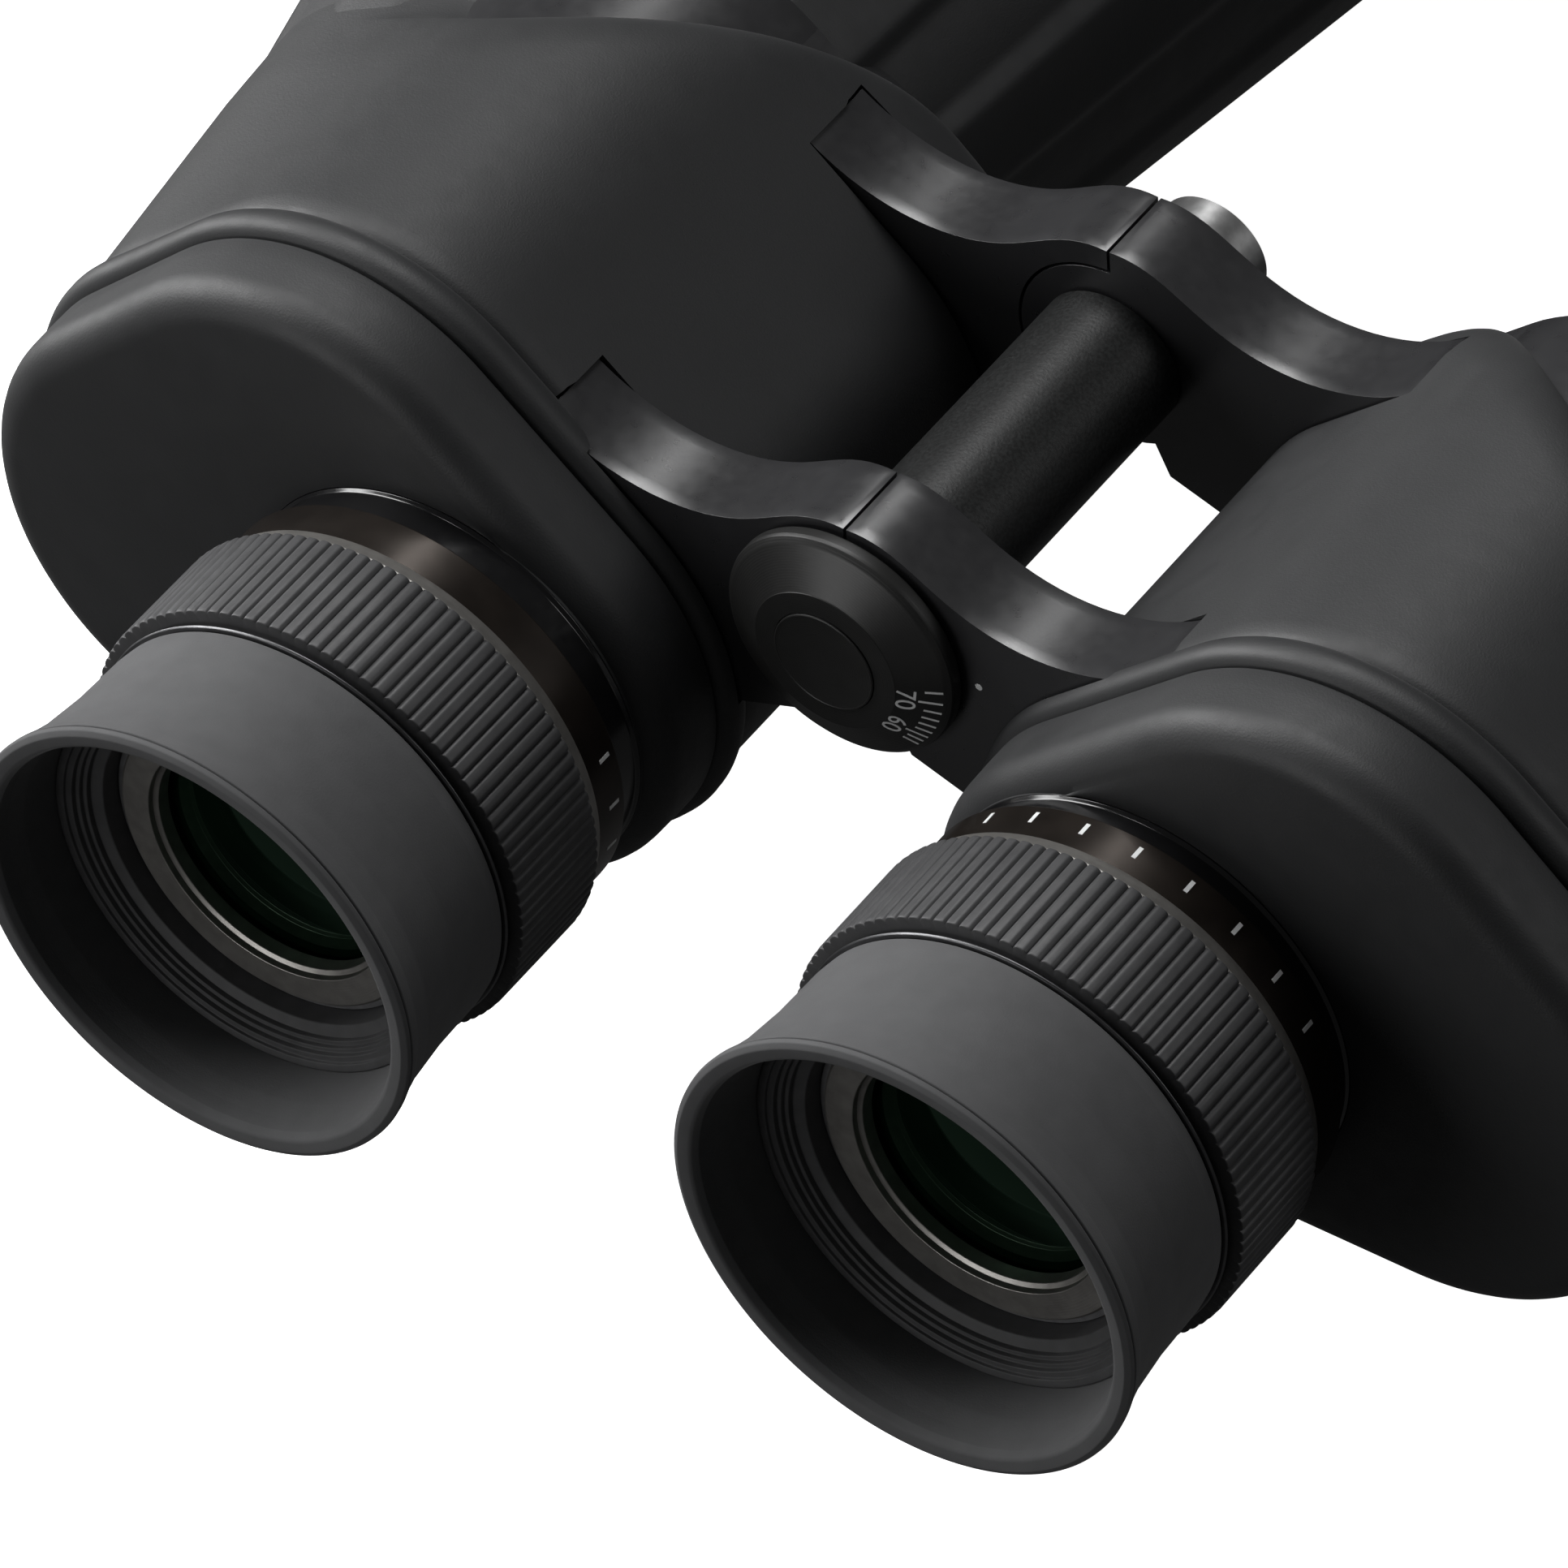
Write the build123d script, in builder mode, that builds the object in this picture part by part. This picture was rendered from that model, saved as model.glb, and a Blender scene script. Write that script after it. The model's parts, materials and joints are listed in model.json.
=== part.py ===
from build123d import *
import os
from math import asin, cos, degrees, hypot, radians, sin

# Large individually focused Porro binoculars, 15x70 class, in millimetres.
# The frame: +Y runs forward along the optical axes, +Z is up, +X is the user's right.
# The origin is on the hinge axis, at the mouth of the tripod socket at its front end.
os.makedirs("parts", exist_ok=True)

# ---------------------------------------------------------------- driving dimensions
EYE_SPACING = 72.0             # between the eyepiece axes, hinge fully open
EYE_DROP = 14.8                # eyepiece axes below the hinge axis
OBJECTIVE_X = 61.5             # objective axis, from the hinge axis
OBJECTIVE_DROP = 13.5
APERTURE_R = 35.0              # 70 mm objectives
HINGE_REAR = -58.0             # station of the dial's rim, behind the tripod socket's mouth

EYE_X = EYE_SPACING / 2
EYE_Z = -EYE_DROP
OBJECTIVE_Z = -OBJECTIVE_DROP

# prism housing: its outline is the hull of three circles
EYE_LOBE_R = 22.5              # round the eyepiece
CROWN_X, CROWN_Z, CROWN_R = 51.0, -3.0, 23.5
BARREL_R0, BARREL_TAPER = 24.0, 0.115    # objective cone: radius at HINGE_REAR, growth per mm
RUBBER = 1.8                   # armour thickness
WALL = 2.2                     # casting wall
HOUSING_LENGTH = 52.0
FRONT_WALL = 3.5
PAD_DEPTH, COVER_PLATE, GASKET = 8.5, 2.4, 0.6

# hinge
ARM_T = 8.1
REAR_ARM, FRONT_ARM = HINGE_REAR + 1.9, HINGE_REAR + 42.1    # rear faces of the arms
KNUCKLE_R, KNUCKLE_CLEAR, KNUCKLE_GAP = 9.5, 0.3, 0.3
AXLE_R, BUSH_R, SLEEVE_R = 4.0, 5.5, 7.0
RUNNING = 0.05                 # radial clearance of every running fit
SPLIT_HALF_GAP = 0.15          # half the gap where the two arms meet on top
LOWER_OPENING = 24.5           # degrees each side of straight down, for folding the halves
DIAL_R, DIAL_PLATE_R = 11.5, 5.1
SOCKET_R, SOCKET_DEPTH = 3.175, 9.0      # 1/4-20 thread
INSERT_SEAT = 1.0              # depth of the tripod insert's foot in the front arm

# eyepiece stations at zero dioptre, behind HINGE_REAR
COLLAR_REAR = 13.6
SKIRT_FRONT, SKIRT_REAR, RING_FRONT, RING_REAR = 11.2, 15.4, 16.3, 28.2
RING_FLOOR = 17.0              # where the collar's chamber in the focus ring ends
EYECUP_REAR, HEAD_REAR, LENS_FACE = 45.2, 37.4, 33.0
NECK_WALL = 1.5                # of the collar's tube through the cover
FIELD_R, FIELD_SEAT_R = 12.4, 13.6
LEFT_SCREWED_OUT = 1.0         # the left eyepiece stands this much further out
COLLAR_R, SKIRT_IN, SKIRT_R, RING_R, TRIM_R, LIP_R = 20.0, 20.35, 21.15, 22.4, 21.1, 22.7
OCULAR_R, LENS_TUBE_R, LENS_VIEW_R, CUP_BORE_R = 15.95, 14.2, 11.8, 19.7
HEAD_STEPS, HEAD_RISER = 5, 0.5

# objective stations, ahead of HINGE_REAR
CONE_END, BELL_START, BELL_FRONT, BELL_R = 164.0, 168.0, 234.0, 43.4
CELL_REAR, CELL_FRONT, CELL_R, LENS_R = 204.0, 224.0, 39.4, 36.5
TUBE_WALL, BELL_SKIN = 2.0, 2.0
LIP_BACK = 4.0                 # the barrel's tube ends this far behind the rubber rim

SIDES = {"left": -1, "right": 1}


# ---------------------------------------------------------------- helpers
def station(distance):
    """Row-frame Y of a distance ahead of the dial's rim."""
    return HINGE_REAR + distance


def across(distance):
    """Plane square to the optical axis: sketch x is X, sketch y is Z, normal points to the rear."""
    return Plane(origin=(0, station(distance), 0), x_dir=(1, 0, 0), z_dir=(0, -1, 0))


def turned(axis_x, axis_z, corners):
    """Solid of revolution about the line along Y through (axis_x, axis_z).
    The corners are (radius, distance ahead of the dial's rim)."""
    with BuildPart() as body:
        with BuildSketch(Plane(origin=(axis_x, 0, axis_z))):
            with BuildLine():
                Polyline(*[(radius, station(distance)) for radius, distance in corners], close=True)
            make_face()
        revolve(axis=Axis((axis_x, 0, axis_z), (0, 1, 0)))
    return body


def barrel_r(distance):
    return BARREL_R0 + BARREL_TAPER * distance


def hull_points(circles):
    """Tangent points of the hull of circles (x, z, r), given anticlockwise."""
    points = []
    for (x0, z0, r0), (x1, z1, r1) in zip(circles, circles[1:] + circles[:1]):
        gap = hypot(x1 - x0, z1 - z0)
        along = Vector((x1 - x0) / gap, (z1 - z0) / gap)
        lean = (r0 - r1) / gap
        side = (1 - lean ** 2) ** 0.5
        normal = Vector(along.Y * side + along.X * lean, -along.X * side + along.Y * lean)
        points.append((Vector(x0, z0) + normal * r0, Vector(x1, z1) + normal * r1, normal))
    return points


def outline(side, distance, grow):
    """Closed outline of the prism housing at a station, moved outward by grow."""
    circles = [
        (EYE_X, EYE_Z, EYE_LOBE_R + grow),
        (OBJECTIVE_X, OBJECTIVE_Z, barrel_r(distance) + grow),
        (CROWN_X, CROWN_Z, CROWN_R + grow),
    ]
    tangents = hull_points(circles)
    with BuildLine() as edge:
        for index, (start, end, normal) in enumerate(tangents):
            Line((side * start.X, start.Y), (side * end.X, end.Y))
            x, z, radius = circles[(index + 1) % 3]
            next_start, _, next_normal = tangents[(index + 1) % 3]
            middle = (normal + next_normal).normalized() * radius
            ThreePointArc(
                (side * end.X, end.Y),
                (side * (x + middle.X), z + middle.Y),
                (side * next_start.X, next_start.Y),
            )
    return edge.line


def housing_block(side, grow, start, end):
    """Solid block with the housing's outline, whose objective side opens forward with the cone."""
    with BuildPart() as block:
        for distance in (start, end):
            with BuildSketch(across(distance)):
                with BuildLine():
                    add(outline(side, distance, grow))
                make_face()
        loft()
    return block


def outline_plate(side, grow, start, end):
    """Flat plate with the outline that the housing has at its rear face."""
    with BuildPart() as plate:
        with BuildSketch(across(start)):
            with BuildLine():
                add(outline(side, 0, grow))
            make_face()
        extrude(amount=start - end)
    return plate


def rod(axis_x, axis_z, radius, start, end):
    """Round bar along Y."""
    with BuildPart() as bar:
        with BuildSketch(across(start)):
            with Locations((axis_x, axis_z)):
                Circle(radius)
        extrude(amount=start - end)
    return bar


def save(builder, name):
    builder.part.label = name
    export_step(builder.part, f"parts/{name}.step")


# ---------------------------------------------------------------- hinge arms
ARM_TOP = [(5.0, 11.1), (9.5, 8.6), (14.0, 6.8), (19.0, 6.2), (25.0, 7.2)]
ARM_CREST, ARM_TOP_END = 12.0, (31.0, 10.3)
ARM_ROOT = [(37.0, 6.0), (25.0, -17.0), (12.0, -14.2)]
ARM_LOWER_R = 13.0


def arm(side, rear_station, owns_rear_half):
    """One hinge arm: a wavy web from the housing to the hinge, with its knuckle.
    Each pair of arms shares its length along the axis, one knuckle behind the other."""
    lower = radians(LOWER_OPENING)
    rear = rear_station - HINGE_REAR
    middle = rear + ARM_T / 2
    gap = KNUCKLE_GAP / 2
    own = (rear, middle - gap) if owns_rear_half else (middle + gap, rear + ARM_T)
    other = (middle - gap, rear + ARM_T) if owns_rear_half else (rear, middle + gap)
    with BuildPart() as web:
        with BuildSketch(across(rear)):
            with BuildLine():
                crest = (side * SPLIT_HALF_GAP, ARM_CREST)
                Spline(crest, *[(side * x, z) for x, z in ARM_TOP],
                       (side * ARM_TOP_END[0], ARM_TOP_END[1]))
                Polyline(
                    (side * ARM_TOP_END[0], ARM_TOP_END[1]),
                    *[(side * x, z) for x, z in ARM_ROOT],
                    (side * ARM_LOWER_R * sin(lower), -ARM_LOWER_R * cos(lower)),
                    (side * SPLIT_HALF_GAP, 0),
                    crest,
                )
            make_face()
        extrude(amount=-ARM_T)
        with BuildSketch(across(other[0])):
            Circle(KNUCKLE_R + KNUCKLE_CLEAR)
        extrude(amount=other[0] - other[1], mode=Mode.SUBTRACT)
        with BuildSketch(across(own[0])):
            Circle(KNUCKLE_R)
        extrude(amount=own[0] - own[1])
        bore = AXLE_R if side < 0 else BUSH_R
        with BuildSketch(across(own[0])):
            Circle(bore)
        extrude(amount=own[0] - own[1], mode=Mode.SUBTRACT)
    return web


# ---------------------------------------------------------------- prisms
# The light goes from the objective axis to the eyepiece axis in two equal steps,
# square to each other: each prism turns it back and moves it by one step.
STEP_ALONG = Vector(EYE_X - OBJECTIVE_X, EYE_Z - OBJECTIVE_Z)
MIDDLE = Vector(OBJECTIVE_X, OBJECTIVE_Z) + Vector(
    (STEP_ALONG.X + STEP_ALONG.Y) / 2, (STEP_ALONG.Y - STEP_ALONG.X) / 2)
STEP = (MIDDLE - Vector(OBJECTIVE_X, OBJECTIVE_Z)).length
PRISM_HALF = STEP + 0.8        # half the long face, and the height of the roof
PRISM_W = STEP + 1.2
SHELF_REAR, SHELF_FRONT = 24.0, 27.0
BEAM_R = 8.2


def prism_plane(side, start, end, distance):
    """Plane through the middle of a prism: sketch x runs along its long face, y along Y."""
    centre = (start + end) / 2
    run = Vector(side * (end.X - start.X), 0, end.Y - start.Y).normalized()
    return Plane(origin=(side * centre.X, station(distance), centre.Y), x_dir=run,
                 z_dir=run.cross(Vector(0, 1, 0)))


def porro_prism(side, start, end, face, apex):
    """Right-angle prism with its long face on the shelf; apex is -1 to the rear, 1 to the front."""
    with BuildPart() as prism:
        with BuildSketch(prism_plane(side, start, end, face)):
            with BuildLine():
                Polyline((-PRISM_HALF, 0), (PRISM_HALF, 0), (2, apex * (PRISM_HALF - 2)),
                         (-2, apex * (PRISM_HALF - 2)), close=True)
            make_face()
        extrude(amount=PRISM_W / 2, both=True)
    return prism


def prism_clip(side, start, end, face, apex):
    """Spring strap over the prism's roof, with a foot on the shelf at each end."""
    with BuildPart() as clip:
        with BuildSketch(prism_plane(side, start, end, face)):
            top = PRISM_HALF - 1.9
            with BuildLine():
                Polyline(
                    (PRISM_HALF + 0.3, 0), (PRISM_HALF + 0.3, apex * 0.5), (2.2, apex * top),
                    (-2.2, apex * top), (-PRISM_HALF - 0.3, apex * 0.5), (-PRISM_HALF - 0.3, 0),
                    (-PRISM_HALF - 1.0, 0), (-PRISM_HALF - 1.0, apex * 0.8),
                    (-2.5, apex * (top + 0.6)), (2.5, apex * (top + 0.6)),
                    (PRISM_HALF + 1.0, apex * 0.8), (PRISM_HALF + 1.0, 0), close=True)
            make_face()
        extrude(amount=3, both=True)
    return clip


# ---------------------------------------------------------------- one half
SCREW_POINTS = [(34.5, 6.3), (66.5, 5.2), (77.5, -22.0), (48.0, -32.0)]
SCREW_R, SCREW_HEAD_R, BOSS_R, BOSS_LENGTH = 1.25, 2.2, 3.0, 9.0


def make_housing(side, name):
    cavity = housing_block(side, -RUBBER - WALL, -1, HOUSING_LENGTH - FRONT_WALL)
    rear_arm = arm(side, REAR_ARM, side < 0)
    front_arm = arm(side, FRONT_ARM, side > 0)
    block = housing_block(side, -RUBBER, 0, HOUSING_LENGTH)
    with BuildPart() as housing:
        add(block.part)
        add(rear_arm.part)
        add(front_arm.part)
        add(cavity.part, mode=Mode.SUBTRACT)
        for x, z in SCREW_POINTS:
            add(rod(side * x, z, BOSS_R, 0, BOSS_LENGTH).part)
        add(rod(side * OBJECTIVE_X, OBJECTIVE_Z, 20.0, 40, HOUSING_LENGTH + 1).part,
            mode=Mode.SUBTRACT)
        for x, z in SCREW_POINTS:
            add(rod(side * x, z, SCREW_R, -1, BOSS_LENGTH - 2).part, mode=Mode.SUBTRACT)
        if side < 0:
            arm_front = FRONT_ARM - HINGE_REAR + ARM_T
            add(rod(0, 0, BUSH_R, arm_front - INSERT_SEAT, arm_front + 1).part, mode=Mode.SUBTRACT)
    save(housing, f"{name}_prism_housing")
    with BuildPart() as armour:
        add(housing_block(side, 0, 0, HOUSING_LENGTH).part)
        add(block.part, mode=Mode.SUBTRACT)
        add(rear_arm.part, mode=Mode.SUBTRACT)
        add(front_arm.part, mode=Mode.SUBTRACT)
    save(armour, f"{name}_body_armour")


def make_cover(side, name):
    eye = (side * EYE_X, EYE_Z)
    neck_r = OCULAR_R + RUNNING + NECK_WALL
    with BuildPart() as gasket:
        add(outline_plate(side, -RUBBER, -GASKET, 0).part)
        add(outline_plate(side, -RUBBER - WALL, -GASKET, 0).part, mode=Mode.SUBTRACT)
        for x, z in SCREW_POINTS:
            add(rod(side * x, z, BOSS_R, -GASKET, 0).part)
            add(rod(side * x, z, SCREW_R, -GASKET, 0).part, mode=Mode.SUBTRACT)
    save(gasket, f"{name}_cover_gasket")
    plate_rear = -GASKET - COVER_PLATE
    with BuildPart() as cover:
        add(outline_plate(side, -RUBBER, plate_rear, -GASKET).part)
        add(rod(*eye, neck_r, plate_rear, -GASKET).part, mode=Mode.SUBTRACT)
        for x, z in SCREW_POINTS:
            add(rod(side * x, z, SCREW_R, plate_rear, -GASKET).part, mode=Mode.SUBTRACT)
            add(rod(side * x, z, SCREW_HEAD_R, plate_rear, plate_rear + 1.4).part, mode=Mode.SUBTRACT)
    save(cover, f"{name}_rear_cover")
    with BuildPart() as pad:
        add(outline_plate(side, 0, -PAD_DEPTH, 0).part)
        rear_face = pad.faces().sort_by(Axis.Y)[0]
        fillet(rear_face.edges(), radius=3.5)
        add(outline_plate(side, -RUBBER, plate_rear, 0).part, mode=Mode.SUBTRACT)
        add(rod(*eye, neck_r, -PAD_DEPTH - 1, 0).part, mode=Mode.SUBTRACT)
    save(pad, f"{name}_cover_pad")
    with BuildPart() as screws:
        for x, z in SCREW_POINTS:
            add(rod(side * x, z, SCREW_R, plate_rear, BOSS_LENGTH - 3).part)
            add(rod(side * x, z, SCREW_HEAD_R, plate_rear, plate_rear + 1.4).part)
    save(screws, f"{name}_cover_screws")


def make_prisms(side, name):
    objective, eye = Vector(OBJECTIVE_X, OBJECTIVE_Z), Vector(EYE_X, EYE_Z)
    cavity = housing_block(side, -RUBBER - WALL, -1, HOUSING_LENGTH - FRONT_WALL)
    with BuildPart() as shelf:
        add(cavity.part)
        add(rod(0, 0, 150, SHELF_REAR, SHELF_FRONT).part, mode=Mode.INTERSECT)
        for point in (objective, MIDDLE, eye):
            add(rod(side * point.X, point.Y, BEAM_R, SHELF_REAR, SHELF_FRONT).part, mode=Mode.SUBTRACT)
    save(shelf, f"{name}_prism_shelf")
    save(porro_prism(side, objective, MIDDLE, SHELF_REAR, -1), f"{name}_objective_prism")
    save(porro_prism(side, MIDDLE, eye, SHELF_FRONT, 1), f"{name}_eyepiece_prism")
    with BuildPart() as clips:
        add(prism_clip(side, objective, MIDDLE, SHELF_REAR, -1).part)
        add(prism_clip(side, MIDDLE, eye, SHELF_FRONT, 1).part)
    save(clips, f"{name}_prism_clips")


def make_barrel(side, name):
    axis = (side * OBJECTIVE_X, OBJECTIVE_Z)
    start, end = HOUSING_LENGTH, CONE_END
    tube_out, tube_in = RUBBER, RUBBER + TUBE_WALL
    bell_tube_r = BELL_R - BELL_SKIN
    tube_end = BELL_FRONT - LIP_BACK
    save(turned(*axis, [
        (barrel_r(start) - tube_in, start), (barrel_r(start) - tube_out, start),
        (barrel_r(end) - tube_out, end), (bell_tube_r, BELL_START), (bell_tube_r, tube_end),
        (CELL_R, tube_end), (CELL_R, BELL_START + 4), (barrel_r(end) - tube_in, end)]),
        f"{name}_objective_barrel")
    save(turned(*axis, [
        (barrel_r(start) - tube_out, start), (barrel_r(start), start), (barrel_r(end), end),
        (BELL_R, BELL_START), (BELL_R, BELL_FRONT - 2), (BELL_R - 1.5, BELL_FRONT),
        (CELL_R, BELL_FRONT), (CELL_R, tube_end), (bell_tube_r, tube_end),
        (bell_tube_r, BELL_START), (barrel_r(end) - tube_out, end)]), f"{name}_barrel_armour")
    seat = CELL_REAR + 2
    save(turned(*axis, [
        (APERTURE_R, CELL_REAR), (CELL_R, CELL_REAR), (CELL_R, CELL_FRONT), (LENS_R, CELL_FRONT),
        (LENS_R, seat), (APERTURE_R, seat)]), f"{name}_objective_cell")
    save(turned(*axis, [
        (0, seat + 1.5), (20, seat + 0.9), (APERTURE_R, seat), (LENS_R, seat), (LENS_R, seat + 8),
        (24, seat + 5.6), (0, seat + 4)]), f"{name}_flint_lens")
    save(turned(*axis, [
        (0, seat + 4.2), (24, seat + 5.8), (LENS_R, seat + 8.2), (LENS_R, seat + 10.5),
        (APERTURE_R, seat + 10.5), (22, seat + 13.2), (0, seat + 15)]), f"{name}_crown_lens")
    seal_front = seat + 11.7
    save(turned(*axis, [
        (APERTURE_R, seal_front), (LENS_R, seal_front), (LENS_R, seat + 10.5),
        (APERTURE_R, seat + 10.5)]), f"{name}_objective_seal")
    save(turned(*axis, [
        (APERTURE_R, seal_front), (LENS_R, seal_front), (LENS_R, CELL_FRONT), (CELL_R, CELL_FRONT),
        (CELL_R, CELL_FRONT + 1.5), (APERTURE_R + 1, CELL_FRONT + 1.5),
        (APERTURE_R, CELL_FRONT - 1)]), f"{name}_objective_retainer")


def make_eyepiece(side, name):
    axis = (side * EYE_X, EYE_Z)
    out = LEFT_SCREWED_OUT if side < 0 else 0.0
    bore_r = OCULAR_R + RUNNING
    neck_r = bore_r + NECK_WALL
    save(turned(*axis, [
        (bore_r, -COLLAR_REAR), (COLLAR_R - 0.4, -COLLAR_REAR), (COLLAR_R, -COLLAR_REAR + 0.4),
        (COLLAR_R, -PAD_DEPTH), (neck_r, -PAD_DEPTH), (neck_r, -GASKET),
        (bore_r, -GASKET)]), f"{name}_eyepiece_collar")
    save(turned(*axis, [
        (LENS_TUBE_R, -LENS_FACE - 0.6 - out), (OCULAR_R, -LENS_FACE - 0.6 - out), (OCULAR_R, -1.2 - out),
        (FIELD_R, -1.2 - out), (FIELD_R, -6.0 - out), (FIELD_SEAT_R, -6.0 - out),
        (FIELD_SEAT_R, -LENS_FACE + 7 - out), (LENS_TUBE_R, -LENS_FACE + 6 - out)]), f"{name}_ocular_barrel")
    ring_in = bore_r
    save(turned(*axis, [
        (ring_in, -RING_REAR - out), (RING_R, -RING_REAR - out), (RING_R, -RING_FRONT - out),
        (SKIRT_R, -SKIRT_REAR - out), (SKIRT_R, -SKIRT_FRONT - out), (SKIRT_IN, -SKIRT_FRONT - out),
        (SKIRT_IN, -RING_FLOOR - out), (ring_in, -RING_FLOOR - out)]), f"{name}_focus_ring")
    save(turned(*axis, [
        (ring_in + 1, -RING_REAR - 0.7 - out), (TRIM_R, -RING_REAR - 0.7 - out), (TRIM_R, -RING_REAR - out),
        (ring_in + 1, -RING_REAR - out)]), f"{name}_trim_ring")
    cup = RING_REAR + 0.7 + out
    rear = EYECUP_REAR + out
    head = HEAD_REAR + out
    save(turned(*axis, [
        (CUP_BORE_R, -cup), (TRIM_R - 0.3, -cup), (TRIM_R + 0.3, -rear + 6), (LIP_R - 0.6, -rear + 2.5),
        (LIP_R, -rear + 1.4), (LIP_R - 0.5, -rear + 0.3), (LIP_R - 1.5, -rear), (20.4, -rear + 0.6),
        (20.0, -rear + 1.6), (CUP_BORE_R, -head)]), f"{name}_eyecup")
    tread = (CUP_BORE_R - ring_in - 0.4) / HEAD_STEPS
    steps = [(CUP_BORE_R, -cup), (CUP_BORE_R, -head)]
    for index in range(1, HEAD_STEPS + 1):
        radius = CUP_BORE_R - tread * index
        steps += [(radius, -head + HEAD_RISER * (index - 1)), (radius, -head + HEAD_RISER * index)]
    steps += [(ring_in, -head + HEAD_RISER * HEAD_STEPS), (ring_in, -cup)]
    save(turned(*axis, steps), f"{name}_ocular_head")
    lens = LENS_FACE + out
    save(turned(*axis, [(LENS_VIEW_R, -lens - 0.2), (LENS_VIEW_R + 0.4, -lens - 1.3), (15.1, -lens - 1.3),
                        (15.1, -lens - 0.6), (LENS_TUBE_R, -lens - 0.6), (LENS_TUBE_R, -lens + 1.2),
                        (LENS_VIEW_R, -lens + 1.2)]), f"{name}_lens_retainer")
    save(turned(*axis, [(0, -lens - 0.2), (7, -lens + 0.25), (LENS_VIEW_R, -lens + 1.2),
                        (LENS_TUBE_R, -lens + 1.2), (LENS_TUBE_R, -lens + 5.8), (0, -lens + 5.8)]),
         f"{name}_eye_lens")
    save(turned(*axis, [
        (0, -12.0 - out), (FIELD_SEAT_R, -12.0 - out), (FIELD_SEAT_R, -8.6 - out),
        (FIELD_R, -8.6 - out), (FIELD_R, -6.0 - out), (0, -7.4 - out)]), f"{name}_field_lens")


for name, side in SIDES.items():
    make_housing(side, name)
    make_cover(side, name)
    make_prisms(side, name)
    make_barrel(side, name)
    make_eyepiece(side, name)

# ---------------------------------------------------------------- hinge hardware
rear_knuckle = REAR_ARM - HINGE_REAR
front_knuckle = FRONT_ARM - HINGE_REAR
axle_end = front_knuckle + ARM_T - INSERT_SEAT
axle = rod(0, 0, AXLE_R, rear_knuckle, axle_end)
save(axle, "hinge_axle")

SLEEVE_START, SLEEVE_END = rear_knuckle + ARM_T + 0.3, front_knuckle - 0.3
with BuildPart() as sleeve:
    add(rod(0, 0, SLEEVE_R, SLEEVE_START, SLEEVE_END).part)
    add(rod(0, 0, AXLE_R, SLEEVE_START, SLEEVE_END).part, mode=Mode.SUBTRACT)
save(sleeve, "hinge_sleeve")

with BuildPart() as bushes:
    for start in (rear_knuckle + ARM_T / 2 + KNUCKLE_GAP / 2, front_knuckle):
        end = start + ARM_T / 2 - KNUCKLE_GAP / 2
        add(rod(0, 0, BUSH_R, start, end).part)
        add(rod(0, 0, AXLE_R + RUNNING, start, end).part, mode=Mode.SUBTRACT)
save(bushes, "hinge_bushes")

dial = turned(0, 0, [
    (0, -1.7), (DIAL_PLATE_R, -1.7), (DIAL_PLATE_R, -2.75), (DIAL_PLATE_R + 0.7, -2.75),
    (DIAL_R - 0.5, -0.2), (DIAL_R, 0.3), (DIAL_R, 1.5), (KNUCKLE_R - 0.3, 1.5),
    (KNUCKLE_R - 0.3, rear_knuckle), (0, rear_knuckle)])
save(dial, "eye_spacing_dial")

dial_plate = turned(0, 0, [(0, -2.0), (3.4, -2.1), (DIAL_PLATE_R, -2.5), (DIAL_PLATE_R, -1.7), (0, -1.7)])
save(dial_plate, "dial_plate")

socket_mouth = -HINGE_REAR
with BuildPart() as insert:
    add(rod(0, 0, BUSH_R, front_knuckle + ARM_T - INSERT_SEAT, socket_mouth).part)
    add(rod(0, 0, SOCKET_R, socket_mouth - SOCKET_DEPTH, socket_mouth).part, mode=Mode.SUBTRACT)
save(insert, "tripod_insert")

closed = 2 * degrees(asin(28 / hypot(EYE_X, EYE_Z)))
opened = 2 * degrees(asin(EYE_X / hypot(EYE_X, EYE_Z)))
print("hinge travel from 72 to 56 mm eye spacing:", round(opened - closed, 2), "degrees")
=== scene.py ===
import json
import math

import bmesh
import bpy
from mathutils import Matrix, Vector


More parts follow.
